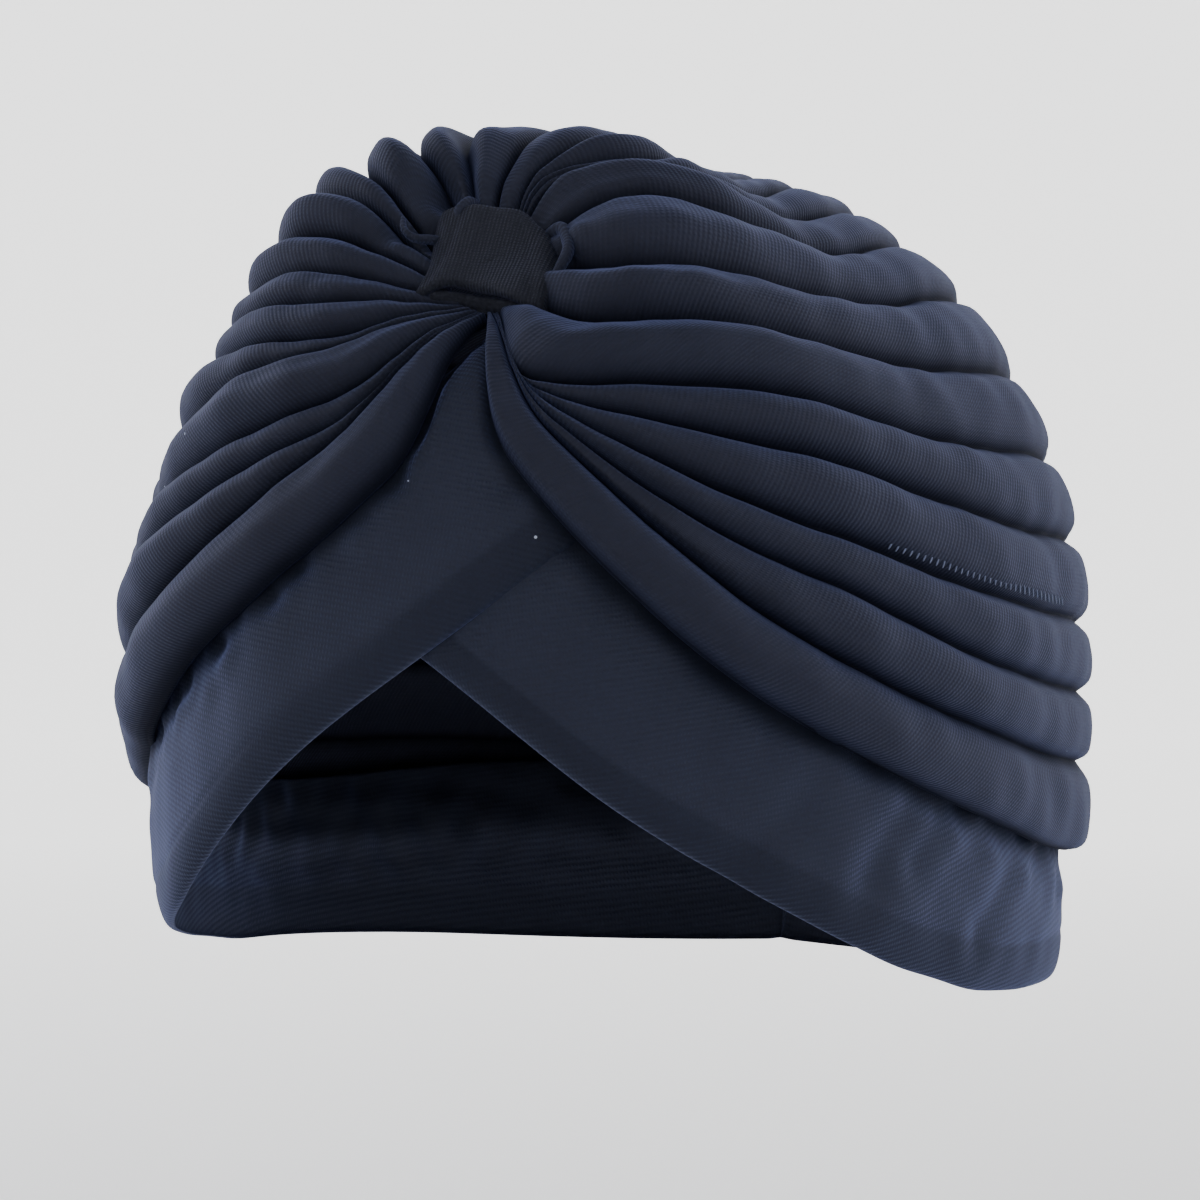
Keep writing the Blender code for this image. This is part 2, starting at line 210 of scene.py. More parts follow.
# Plain-knit polyester jersey, knitted on a circular machine and dyed navy: matt, with a soft blue sheen where the
# cloth turns away, faint wales, paler flecks and a few specks of lint. Wales are drawn a little coarser than real.
def jersey(name, dark, light, look=jerseyLook, ribs=1.0, sheen=0.30):
    material = bpy.data.materials.new(name)
    material.use_nodes = True
    tree = material.node_tree
    shader = tree.nodes["Principled BSDF"]
    cloth = addNode(tree, "ShaderNodeUVMap", uv_map="cloth").outputs["UV"]
    place = addNode(tree, "ShaderNodeTexCoord").outputs["Object"]
    axes = addNode(tree, "ShaderNodeSeparateXYZ", {0: cloth})
    waver = addNode(tree, "ShaderNodeTexNoise", {"Vector": place, "Scale": look["waverSize"], "Detail": 2.0})
    drift = maths(tree, "MULTIPLY_ADD", waver.outputs["Fac"], look["waver"] * 2 * math.pi, 0.0)
    turnsX = maths(tree, "MULTIPLY_ADD", axes.outputs["X"], 2 * math.pi / look["wale"], drift)
    turnsY = maths(tree, "MULTIPLY_ADD", axes.outputs["Y"], 2 * math.pi / look["course"], drift)
    rib = maths(tree, "MULTIPLY_ADD", maths(tree, "SINE", turnsX), 0.5, 0.5)
    loop = maths(tree, "MULTIPLY_ADD", maths(tree, "SINE", turnsY), 0.5, 0.5)
    flecks = addNode(tree, "ShaderNodeTexNoise", {"Vector": place, "Scale": look["flecks"], "Detail": 3.0})
    stitch = maths(tree, "MULTIPLY", rib, maths(tree, "MULTIPLY_ADD", loop, 0.5, 0.5))
    # Painted shade: a mark per point makes the colour darker and the sheen and gloss weaker in the crown's valleys
    # and on the band just under the crown's edge; along the band's hem the same mark draws a darker strip. The bump
    # is smoother where the mark is high.
    painted_shade_and_hem = addNode(tree, "ShaderNodeAttribute", attribute_name="painted_shade_and_hem").outputs["Fac"]
    outOfPaintedShade = maths(tree, "MULTIPLY_ADD", painted_shade_and_hem, look["darker"], 1.0)
    relief = maths(tree, "MULTIPLY_ADD", flecks.outputs["Fac"], 0.9, stitch)
    relief = maths(tree, "MULTIPLY", relief, maths(tree, "MULTIPLY_ADD", painted_shade_and_hem, look["smoother"], 1.0))
    patches = addNode(tree, "ShaderNodeTexNoise", {"Vector": place, "Scale": look["patches"], "Detail": 4.0})
    speckled = maths(tree, "MULTIPLY_ADD", flecks.outputs["Fac"], 1.3, -0.42)
    tone = maths(tree, "MULTIPLY_ADD", stitch, 0.22 * ribs, speckled)
    tone = maths(tree, "MULTIPLY_ADD", patches.outputs["Fac"], 0.5, maths(tree, "SUBTRACT", tone, 0.12), clamp=True)
    tone = maths(tree, "MULTIPLY", tone, outOfPaintedShade)
    blend = addNode(tree, "ShaderNodeMix", data_type="RGBA")
    tree.links.new(tone, blend.inputs["Factor"])
    blend.inputs["A"].default_value = hexColour(dark)
    blend.inputs["B"].default_value = hexColour(light)
    cells = addNode(tree, "ShaderNodeTexVoronoi", {"Vector": place, "Scale": look["lint"]})
    few = addNode(tree, "ShaderNodeSeparateColor", {"Color": cells.outputs["Color"]})
    speck = maths(tree, "MULTIPLY", maths(tree, "LESS_THAN", cells.outputs["Distance"], look["lintSize"]),
                  maths(tree, "GREATER_THAN", few.outputs[0], look["lintFrom"]))
    lint = addNode(tree, "ShaderNodeMix", data_type="RGBA")
    tree.links.new(speck, lint.inputs["Factor"])
    tree.links.new(blend.outputs["Result"], lint.inputs["A"])
    lint.inputs["B"].default_value = hexColour("#8d93a3")
    tree.links.new(lint.outputs["Result"], shader.inputs["Base Color"])
    rough = maths(tree, "MULTIPLY_ADD", flecks.outputs["Fac"], 0.16, 0.76)
    tree.links.new(rough, shader.inputs["Roughness"])
    shader.inputs["Metallic"].default_value = 0.0
    tree.links.new(maths(tree, "MULTIPLY", outOfPaintedShade, look["gloss"]), shader.inputs["Specular IOR Level"])
    tree.links.new(maths(tree, "MULTIPLY", outOfPaintedShade, sheen), shader.inputs["Sheen Weight"])
    shader.inputs["Specular Tint"].default_value = hexColour("#dde1ff")
    shader.inputs["Sheen Roughness"].default_value = 0.45
    shader.inputs["Sheen Tint"].default_value = hexColour("#7f90d8")
    bump = addNode(tree, "ShaderNodeBump", {"Height": relief, "Strength": 0.75 * ribs, "Distance": look["bump"]})
    tree.links.new(bump.outputs["Normal"], shader.inputs["Normal"])
    return material


# One navy jersey in three copies: the crown's is drawn darker and with less sheen than the band's, as painted shade;
# the strap's is darker still with almost no sheen, painted shade on a strap that faces up into the light.
crownJersey = jersey("navy jersey, pleated crown", "#04050a", "#0e111d", ribs=0.7, sheen=0.17)
bandJersey = jersey("navy jersey, head band", "#07090f", "#131723", ribs=0.9, sheen=0.28)
strapJerseyPaintedDark = jersey("navy jersey, knot strap, painted dark for shade", "#030406", "#090b10", ribs=1.5, sheen=0.05)

# The pleated crown.
crown = {"wall": 0.0022, "roll": 0.0056, "crease": 0.0017, "creaseWidth": 0.14, "darkWidth": 0.11, "power": 1.52,
         "overhang": 0.13, "pleat": 0.0006, "seamLow": -19.0, "seamHigh": 74.0,
         "nearShare": 0.20, "quarterShare": 0.52,
         "near": 0.12, "quarter": 0.34, "side": 0.64, "rear": 0.82, "rearInset": 0.6, "rearShare": 0.25,
         "sideLie": 0.32, "rows": 190, "waver": 0.006, "sway": 0.14, "seamSink": 0.0011, "innerFollow": 0.8,
         "thinnest": 0.0006, "edgeTuck": [0.0012, 0.0006, 0.0001], "rollCloth": 0.0145}
# Unevenness of the cloth: how high and how broad the bumps are, in metres, then those of the gathers by the knot.
crownBumps = [(0.00045, 0.034), (0.00022, 0.013)]
gatherBumps = (0.00016, 0.006)
# Each row is a valley between two rolls: its direction round the knot (0 is toward the wearer's left, 90 is up)
# at the rim, near the knot and at the temple, its angle at the side, and how high the roll above it stands.
leftFolds = [(-88, -74, -47, -19, 1.00), (-81, -63, -39, -8, 1.00), (-79, -62, -31, 0.5, 0.90),
             (-78, -61, -26, 10, 0.95), (-77, -62, -14.5, 20, 1.00), (-74, -62, -5.5, 30, 1.05),
             (-45, -27, 7, 40.5, 1.00), (25, 3, 19.5, 50.5, 1.00), (66, 45, 38, 58.5, 1.00), (86, 75, 49, 65, 0.90),
             (89, 78, 54, 71, 0.90), (92, 80.5, 63, 76, 0.95), (96, 84.5, 75, 81, 0.75), (107, 99, 90, 86, 0.75),
             (121, 113, 109, 90, 1.00)]
rightFolds = [(-90, -103, -139, -20, 1.00), (-94, -117, -149, -9, 1.00), (-96, -119, -157, 2, 1.00),
              (-99, -122, -163, 13, 1.00), (-106, -140, -171, 23, 1.00), (-116, -144, -180, 33, 0.80),
              (-124, -157, -184, 42, 0.90), (-136, -171, -190, 50, 1.00), (-162, -188, -200, 58, 1.15),
              (-186, -204, -212, 66, 1.25), (-208, -214, -226, 73, 1.25), (-229, -234, -239, 81, 1.20),
              (-239, -247, -251, 90, 1.00)]

# How much more a roll puffs up close to the knot, by its place in its table.
leftPuffs = {8: 0.1, 9: 0.2, 10: 0.5, 11: 0.8}
rightPuffs = {7: 0.3, 8: 0.8, 9: 1.0, 10: 1.2, 11: 1.5}
# Dark hollows among the gathers: across and above the knot, size and depth, in metres.
hollows = [(-0.0129, 0.0150, 0.0042, 0.0062), (-0.0125, 0.0070, 0.0030, 0.0040), (-0.0185, 0.0050, 0.0028, 0.0028),
           (0.0108, 0.0030, 0.0018, 0.0022)]


def hollowing(d):
    across, above = d @ knotAcross * head["height"], d @ knotUp * head["height"]
    return sum(depth * np.exp(-((across - a) ** 2 + (above - b) ** 2) / size ** 2) for a, b, size, depth in hollows)


def through(points, stations, t):
    p, s = np.array(points), np.array(stations)
    slope = (p[2:] - p[:-2]) / (s[2:] - s[:-2])[:, None]
    p, s = p[1:-1], s[1:-1]
    i = np.clip(np.searchsorted(s, t, side="right") - 1, 0, len(s) - 2)
    span = (s[i + 1] - s[i])[:, None]
    f = ((t - s[i]) / (s[i + 1] - s[i]))[:, None]
    return ((2 * f ** 3 - 3 * f ** 2 + 1) * p[i] + (f ** 3 - 2 * f ** 2 + f) * span * slope[i]
            + (3 * f ** 2 - 2 * f ** 3) * p[i + 1] + (f ** 3 - f ** 2) * span * slope[i + 1])


def valley(row, seam, hand, t):
    rimFan, nearFan, templeFan, side = row[:4]
    flank = unitVector(np.array([hand * math.cos(math.radians(side)), 0.05, math.sin(math.radians(side))]))
    reach = math.degrees(math.acos(flank @ knot)) - rimAngle
    rim = aboutKnot(np.array(rimAngle), np.array(rimFan))
    near = aboutKnot(np.array(rimAngle + crown["nearShare"] * reach), np.array(nearFan))
    temple = aboutKnot(np.array(rimAngle + crown["quarterShare"] * reach), np.array(templeFan))
    inset, rear = crown["rearInset"] * flank[0], math.sin(math.radians(seam + crown["rearShare"] * (side - seam)))
    behind = np.array([inset, math.sqrt(1 - inset ** 2 - rear ** 2), rear])
    back = np.array([0.0, math.cos(math.radians(seam)), math.sin(math.radians(seam))])
    points = [2 * rim - near, rim, near, temple, flank, behind, back, behind * [-1, 1, 1]]
    stations = [-crown["near"], 0.0, crown["near"], crown["quarter"], crown["side"], crown["rear"], 1.0,
                2 - crown["rear"]]
    return unitVector(through(points, stations, t))


def halfCrown(name, folds, puffs, hand, perRoll, seed):
    rolls = len(folds) - 1
    rows = crown["rows"]
    t = np.interp(np.linspace(0, 1, rows + 1), [0, 0.26, 0.46, 0.68, 1],
                  [0, crown["near"], crown["quarter"], crown["side"], 1])
    seams = np.linspace(crown["seamLow"], crown["seamHigh"], rolls + 1)
    lines = np.array([valley(row, seam, hand, t) for row, seam in zip(folds, seams)])
    along = np.interp(t, [0, crown["near"], crown["quarter"], crown["side"], 0.85, 1.0],
                      [0.8, 1.0, 0.88, crown["sideLie"], crown["sideLie"] * 0.8, 0.0])
    loose = ease(0.0, 0.10, t) * ease(1.0, 0.93, t)
    # The valleys waver a little, as hand-laid pleats do.
    pick = np.random.RandomState(seed)
    across = unitVector(np.gradient(lines, axis=0))
    for i in range(1, rolls):
        waves = sum(np.sin(t * pick.uniform(6, 24) + pick.uniform(0, 6.3)) for _ in range(3)) / 1.8
        lines[i] = unitVector(lines[i] + across[i] * (crown["waver"] * waves * loose)[:, None])
    directions, radii, inners, uv, creaseShade = [], [], [], [], []
    for i in range(rolls):
        gap = np.linalg.norm(lines[i + 1] - lines[i], axis=-1) * head["halfWidth"]
        puff = 1 + puffs.get(i, 0.0) * np.exp(-((t - 0.24) / 0.15) ** 2)
        tall = np.minimum(crown["roll"] * folds[i][4] * puff, (0.5 + 0.25 * (puff - 1)) * gap) * along
        tall = tall * (1 + crown["sway"] * loose * np.sin(t * pick.uniform(9, 20) + pick.uniform(0, 6.3)))
        lean = crown["overhang"] * pick.uniform(0.7, 1.3)
        folding = ease(0.0, 0.05, t) * ease(0.40, 0.12, t) * pick.uniform(0.5, 1.2)
        phase = pick.uniform(0, 1) + 0.25 * np.sin(t * pick.uniform(5, 12))
        last = rolls - 1 == i
        for k in range(perRoll + last):
            u = k / perRoll
            u = 0.55 * u + 0.45 * (0.5 - 0.5 * math.cos(math.pi * u))
            share = u - lean * math.sin(math.pi * u) * (1 - u) ** 2
            bulge = (1 - abs(2 * u - 1) ** crown["power"]) ** (1 / crown["power"])
            crease = math.exp(-(min(u, 1 - u) / crown["creaseWidth"]) ** 2)
            d = unitVector(lines[i] * (1 - share) + lines[i + 1] * share)
            # The very last stretch dips into the centre-back seam.
            sunk = crown["crease"] * crease * ease(1.0, 0.97, t) + crown["seamSink"] * ease(0.975, 1.0, t)
            d[-1] = unitVector(np.array([0.0, d[-1][1], d[-1][2]]))
            base = ground(d)
            spot = d * base[:, None]
            (broadBump, broad), (narrowBump, narrow) = crownBumps
            ripple = (broadBump * unevenness(spot, broad, seed + 3) * loose
                      + narrowBump * unevenness(spot, narrow, seed + 5) * loose
                      + gatherBumps[0] * unevenness(spot, gatherBumps[1], seed + 7) * ease(0.30, 0.04, t))
            # Finer pleats run along each roll close to the knot.
            fine = crown["pleat"] * folding * np.sin(2 * math.pi * (1.6 * u + phase)) * np.minimum(gap / 0.010, 1)
            directions.append(d)
            radii.append(base + tall * bulge - sunk + ripple - hollowing(d) + fine)
            inners.append(base - crown["wall"] + crown["innerFollow"] * tall * bulge + np.minimum(ripple, 0)
                          - hollowing(d))
            # Painted shade: each valley between rolls and the crown's lower edge are marked to be drawn darker, with
            # less sheen.
            creaseShade.append(np.full(len(t), math.exp(-(min(u, 1 - u) / crown["darkWidth"]) ** 2)))
            length = np.concatenate([[0], np.cumsum(np.linalg.norm(np.diff(spot, axis=0), axis=-1))])
            uv.append(np.stack([length, np.full(len(t), (i + u) * crown["rollCloth"])], -1))
    directions, radii, inners, uv = map(np.array, (directions, radii, inners, uv))
    inners = np.minimum(inners, radii - crown["thinnest"])
    # The crown's own lower edge turns in under its lowest roll.
    tuck = np.zeros(len(radii))
    tuck[:3] = crown["edgeTuck"]
    radii = radii - tuck[:, None]
    return clothWall(name, directions * radii[..., None], directions * inners[..., None], uv, crownJersey,
                     np.array(creaseShade))


crownLeft = halfCrown("crown_wearers_left", leftFolds, leftPuffs, 1, 17, 11)
crownRight = halfCrown("crown_wearers_right", rightFolds, rightPuffs, -1, 19, 41)

# The two sides of the head band.
bands = {"wall": 0.0020, "gap": 0.0007, "tuck": 0.0080, "hemIn": 0.0030, "hemTall": 0.0075, "hemFold": 0.0088,
         "layerFrom": 30.0, "layerTo": 50.0, "step": 0.75, "rows": 64, "ribTilt": 8.0, "hemLine": 0.00022,
         "pucker": 0.00055, "sinkUnderCrown": 0.0014, "pocketUnderKnot": 0.0042, "seamGroove": 0.0006,
         "napeCalm": 9.0, "bumps": [(0.00050, 0.040), (0.00016, 0.012)], "wrapRadius": 0.085}
overHem = [(25, 24), (18, 18), (9, 11.5), (0, 5), (-9, -1), (-16, -6), (-22, -10.5), (-29, -16), (-35, -20),
           (-42, -24.5), (-58, -29.5), (-75, -32.5), (-95, -34), (-135, -32), (-180, -30.5)]
underHem = [(-16, 15), (-9, 11), (0, 6), (9, -1), (15, -5.8), (20, -10), (32, -17.5), (44, -23.5), (61, -31),
            (80, -35.4), (95, -35.8), (135, -33), (180, -30.5)]
# Soft creases: round the head and height at both ends, half width, all in degrees, then depth in metres.
overCreases = [(-52, -12, -40, -2, 2.6, 0.0006), (-70, -22, -58, -14, 3.0, 0.0007), (-20, 12, -8, 22, 3.0, 0.0006)]
underCreases = [(60, -14.5, 54, -20, 2.6, 0.0011), (67, -15, 62, -19, 1.8, 0.0007), (46, -9, 36, -17, 2.6, 0.0006),
                (88, -21, 78, -28, 2.2, 0.0007)]


def crownEdge(folds, hand, turns):
    line = valley(folds[0], crown["seamLow"], hand, np.linspace(0, 1, 400))
    turn = hand * np.degrees(np.arctan2(line[:, 0], -line[:, 1]))
    lift = np.degrees(np.arcsin(line[:, 2]))
    return np.interp(hand * turns, np.maximum.accumulate(turn), lift)


def headBand(name, hem, start, end, reach, layer, creases, seed):
    steps = round(abs(end - start) / bands["step"])
    turns = np.linspace(start, end, steps + 1)
    table = np.array(sorted(hem), float)
    low = np.interp(turns, table[:, 0], table[:, 1])
    for _ in range(60):
        low[1:-1] = 0.25 * low[:-2] + 0.5 * low[1:-1] + 0.25 * low[2:]
    edge = np.where(turns > knotTurn, crownEdge(leftFolds, 1, turns), crownEdge(rightFolds, -1, turns))
    high = np.minimum(edge + math.degrees(bands["tuck"] / head["halfWidth"]), knotLift - reach)
    shares = np.linspace(0, 1, bands["rows"] + 1) ** 1.25
    lifts = low[:, None] + (high - low)[:, None] * shares
    d = heading(np.repeat(turns[:, None], len(shares), 1), lifts)
    base = ground(d)
    spot = d * base[..., None]
    top = base - crown["wall"] + 0.0003 - bands["gap"] - layer(turns)[:, None]
    for turnA, liftA, turnB, liftB, width, depth in creases:
        runX, runY = turnB - turnA, liftB - liftA
        along = np.clip(((turns[:, None] - turnA) * runX + (lifts - liftA) * runY) / (runX ** 2 + runY ** 2), 0, 1)
        off = np.hypot(turns[:, None] - turnA - along * runX, lifts - liftA - along * runY)
        top = top - depth * (np.exp(-(off / width) ** 2) - 0.35 * np.exp(-((off - 2.2 * width) / width) ** 2))
    up = np.radians(lifts - low[:, None]) * base
    # Both sides end alike at the nape, where they are sewn together.
    fromNape = 180.0 - np.abs(turns[:, None])
    calm = ease(0.0, 0.012, up) * ease(0.0, bands["napeCalm"], fromNape)
    (broadBump, broad), (narrowBump, narrow) = bands["bumps"]
    uneven = broadBump * unevenness(spot, broad, seed) + narrowBump * unevenness(spot, narrow, seed + 2)
    top = top + uneven * calm
    # Small puckers where the band is sewn in under the crown's edge.
    under = ease(9.0, 1.0, np.abs(edge[:, None] - lifts)) * ease(0, 6, lifts - low[:, None])
    top = top + bands["pucker"] * under * ease(0.0, bands["napeCalm"], fromNape) * unevenness(spot, 0.008, seed + 4)
    # It sinks in under the crown's edge, and under the knot.
    top = top - bands["sinkUnderCrown"] * ease(4.5, 0.0, edge[:, None] - lifts)
    pocket = np.exp(-((turns[:, None] + 1.5) / 7.0) ** 2 - ((lifts - 43) / 7.0) ** 2)
    top = top - bands["pocketUnderKnot"] * pocket
    # A faint line shows where the turned-in hem ends.
    top = top - bands["hemLine"] * np.exp(-((up - bands["hemFold"]) / 0.0008) ** 2)
    # The cloth rolls in at the hem and is folded double there.
    curl = np.clip(1 - up / bands["hemTall"], 0, 1)
    rolledIn = bands["hemIn"] * (1 - np.sqrt(1 - np.minimum(curl, 0.999) ** 2))
    outer = top - rolledIn - bands["seamGroove"] * ease(1.6, 0.0, fromNape)
    inner = np.minimum(top - bands["wall"], outer - 0.0012 + 0.0009 * curl ** 4)
    # The ribs of the knit run round the head, rising a little toward the crossing.
    level = np.radians(lifts) * bands["wrapRadius"]
    way = np.radians(turns)[:, None] * bands["wrapRadius"]
    tilt = math.radians(bands["ribTilt"]) * np.sign(end - start)
    uv = np.stack([level * math.cos(tilt) - way * math.sin(tilt), way * math.cos(tilt) + level * math.sin(tilt)], -1)
    edgeBelow = edge[:, None] - lifts
    if end < start:
        outer, inner, d, uv, up, edgeBelow = (grid[::-1] for grid in (outer, inner, d, uv, up, edgeBelow))
    # A darker, smoother strip along the hem, and painted shadow on the band just below the crown's edge.
    hem = 0.35 * ease(bands["hemFold"] + 0.0006, bands["hemFold"] - 0.0006, up)
    hem = np.maximum(hem, 0.8 * ease(3.0, 0.3, edgeBelow))
    return clothWall(name, d * outer[..., None], d * inner[..., None], uv, bandJersey, hem)


# Where the bands cross, the lower one lies one layer deeper.
def underLayer(turns):
    return (bands["wall"] + bands["gap"]) * (1 - ease(bands["layerFrom"], bands["layerTo"], turns))


bandOver = headBand("head_band_over", overHem, 24.0, -180.0, 3.5, lambda turns: 0 * turns, overCreases, 71)
bandUnder = headBand("head_band_under", underHem, -16.0, 180.0, 25.0, underLayer, underCreases, 83)

# The strap over the gathers.
strap = {"left": [(-1, 0.0122), (0, 0.0118), (0.6, 0.0122), (1, 0.0122)],
         "right": [(-1, 0.0113), (-0.4, 0.0123), (0, 0.0116), (0.35, 0.0108), (0.7, 0.0088), (1, 0.0052)],
         "bottom": [(-1, 0.0076), (-0.4, 0.0052), (0, 0.0064), (0.5, 0.0088), (1, 0.0100)],
         "up": 0.0122, "wall": 0.0014, "stand": 0.0012, "arch": 0.0052, "sideDrop": 0.0020, "endDrop": 0.0011,
         "bumpHigh": 0.00026, "bumpBroad": 0.008}


def knotStrap():
    a = np.linspace(-1, 1, 81)[:, None]
    b = np.linspace(-1, 1, 61)[None, :]
    left, right = throughValues(strap["left"], b[0]), throughValues(strap["right"], b[0])
    sideways = np.where(a < 0, a * left, a * right)
    down = throughValues(strap["bottom"], a[:, 0])[:, None]
    upward = np.where(b > 0, b * strap["up"], b * down)
    spot = knot * head["height"] + knotAcross * sideways[..., None] + knotUp * upward[..., None]
    d = unitVector(spot)
    base = ground(d)
    rounded = np.sqrt(np.clip(1 - np.abs(a) ** 2.6, 0, 1))
    edge = np.clip(np.abs(b) - 0.86, 0, 1) / 0.14
    outer = base + strap["stand"] - strap["sideDrop"] * (1 - rounded) + strap["arch"] * rounded * (1 - 0.22 * b * b)
    outer = outer - strap["endDrop"] * (1 - np.sqrt(1 - np.minimum(edge, 0.999) ** 2))
    # Soft creases where the strap is pulled round the gathers.
    outer = outer - 0.0005 * np.exp(-((a - 0.55 + 0.25 * b) / 0.10) ** 2) * (0.5 - 0.5 * b)
    outer = outer - 0.0004 * np.exp(-((a + 0.70 - 0.15 * b) / 0.09) ** 2)
    outer = outer + strap["bumpHigh"] * unevenness(d * base[..., None], strap["bumpBroad"], 5, (1, 0.4, 0.4))
    inner = outer - strap["wall"] + 0.0006 * edge
    uv = np.stack([sideways * 1.5 + 0 * b, upward], -1)
    return clothWall("knot_strap", d * outer[..., None], d * inner[..., None], uv, strapJerseyPaintedDark)


# A thin rolled edge of cloth among the gathers, along stations (across, above, height over the ground, radius).
def clothCurl(name, path, material=crownJersey):
    table = np.array(path, float)
    at = np.linspace(0, len(path) - 1, 60)
    across, above, height, radius = [throughValues(list(enumerate(table[:, k])), at) for k in range(4)]
    d = unitVector(knot * head["height"] + knotAcross * across[:, None] + knotUp * above[:, None])
    middle = d * (ground(d) + height)[:, None]
    along = unitVector(np.gradient(middle, axis=0))
    side = unitVector(np.cross(along, d))
    lift = np.cross(side, along)
    ends = np.sqrt(np.clip(1 - (2 * at / at[-1] - 1) ** 8, 0.0, 1))
    turn = np.linspace(0, 2 * math.pi, 15)[:-1]
    ring = (np.cos(turn)[None, :, None] * side[:, None] + 1.5 * np.sin(turn)[None, :, None] * lift[:, None])
    points = middle[:, None] + ring * (radius * (0.12 + 0.88 * ends))[:, None, None]
    mesh = bpy.data.meshes.new(name)
    sides = len(turn)
    faces = [(i * sides + k, i * sides + (k + 1) % sides, (i + 1) * sides + (k + 1) % sides, (i + 1) * sides + k)
             for i in range(len(at) - 1) for k in range(sides)]
    faces += [tuple(range(sides)), tuple(range(len(at) * sides - 1, (len(at) - 1) * sides - 1, -1))]
    mesh.from_pydata(points.reshape(-1, 3).tolist(), [], faces)
    layer = mesh.uv_layers.new(name="cloth")
    spots = np.stack([np.repeat(at * 0.004, sides), np.tile(turn * 0.001, len(at))], -1)
    index = np.zeros(len(mesh.loops), dtype=np.int32)
    mesh.loops.foreach_get("vertex_index", index)
    layer.data.foreach_set("uv", spots[index].astype(np.float32).ravel())
    mesh.shade_smooth()
    mesh.materials.append(material)
    made = bpy.data.objects.new(name, mesh)
    bpy.context.scene.collection.objects.link(made)
    return made


knotTab = knotStrap()
curlLeft = clothCurl("gather_edge_left", [(-0.0163, 0.0078, 0.0028, 0.0004), (-0.0155, 0.0050, 0.0030, 0.0006),
                                          (-0.0138, 0.0040, 0.0028, 0.0006), (-0.0116, 0.0050, 0.0024, 0.0006),
                                          (-0.0094, 0.0066, 0.0010, 0.0005)])
curlRight = clothCurl("gather_edge_right", [(0.0064, 0.0092, 0.0010, 0.0008), (0.0100, 0.0088, 0.0030, 0.0011),
                                            (0.0120, 0.0054, 0.0034, 0.0011), (0.0125, 0.0024, 0.0034, 0.0010),
                                            (0.0117, -0.0008, 0.0028, 0.0008), (0.0104, -0.0036, 0.0012, 0.0006)])
curlTop = clothCurl("gather_edge_top", [(-0.0082, 0.0080, 0.0010, 0.0008), (-0.0078, 0.0108, 0.0030, 0.0011),
                                        (-0.0070, 0.0132, 0.0028, 0.0009), (-0.0062, 0.0150, 0.0010, 0.0004)])
# Partly the strap's turned-under lower edge, partly painted shadow: this curl lies almost flat and is drawn in the
# strap's darker jersey.
curlLowShadow = clothCurl("gather_edge_low_and_painted_shadow", [(-0.0100, -0.0068, 0.0002, 0.0010), (-0.0050, -0.0056, 0.0004, 0.0011),
                                        (0.0020, -0.0066, 0.0004, 0.0012), (0.0094, -0.0096, 0.0002, 0.0010)],
                   strapJerseyPaintedDark)

# Overlock stitches in one valley on the wearer's left: short slanted loops of thread.
stitching = {"row": 3, "from": 0.415, "to": 0.665, "Spacing": 0.0018, "Length": 0.0021, "Thread": 0.00017,
             "slant": 0.55}


# Spun polyester thread: dull and paler than the cloth, so that the loops show in the dark valley.
def threadMaterial():
    material = bpy.data.materials.new("overlock thread, polyester")
    material.use_nodes = True
    shader = material.node_tree.nodes["Principled BSDF"]
    shader.inputs["Base Color"].default_value = hexColour("#3a4259")
    shader.inputs["Roughness"].default_value = 0.7
    return material


def stitchNodes(thread):
    tree = bpy.data.node_groups.new("overlock stitches", "GeometryNodeTree")
    tree.interface.new_socket("Geometry", in_out="INPUT", socket_type="NodeSocketGeometry")
    for name in ("Spacing", "Length", "Thread"):
        tree.interface.new_socket(name, in_out="INPUT", socket_type="NodeSocketFloat")
    tree.interface.new_socket("Geometry", in_out="OUTPUT", socket_type="NodeSocketGeometry")
    given = addNode(tree, "NodeGroupInput").outputs
    curve = addNode(tree, "GeometryNodeMeshToCurve", {"Mesh": given["Geometry"]})
    spaced = addNode(tree, "GeometryNodeResampleCurve", {"Curve": curve.outputs[0], "Length": given["Spacing"]},
                     mode="LENGTH")
    way = addNode(tree, "GeometryNodeInputNamedAttribute", {"Name": "lay"}, data_type="FLOAT_VECTOR")
    turned = addNode(tree, "FunctionNodeAlignRotationToVector", {"Vector": way.outputs["Attribute"]}, axis="Z")
    half = addNode(tree, "ShaderNodeMath", {0: given["Length"], 1: 0.5}, operation="MULTIPLY")
    scale = addNode(tree, "ShaderNodeCombineXYZ", {0: given["Thread"], 1: given["Thread"], 2: half.outputs[0]})
    ball = addNode(tree, "GeometryNodeMeshIcoSphere", {"Radius": 1.0, "Subdivisions": 2})
    loop = addNode(tree, "GeometryNodeTransform", {"Geometry": ball.outputs["Mesh"], "Scale": scale.outputs[0]})
    laid = addNode(tree, "GeometryNodeInstanceOnPoints", {"Points": spaced.outputs[0], "Instance": loop.outputs[0],
                                                          "Rotation": turned.outputs[0]})
    real = addNode(tree, "GeometryNodeRealizeInstances", {"Geometry": laid.outputs[0]})
    final = addNode(tree, "GeometryNodeSetMaterial", {"Geometry": real.outputs[0], "Material": thread})
    addNode(tree, "NodeGroupOutput", {"Geometry": final.outputs[0]})
    return tree


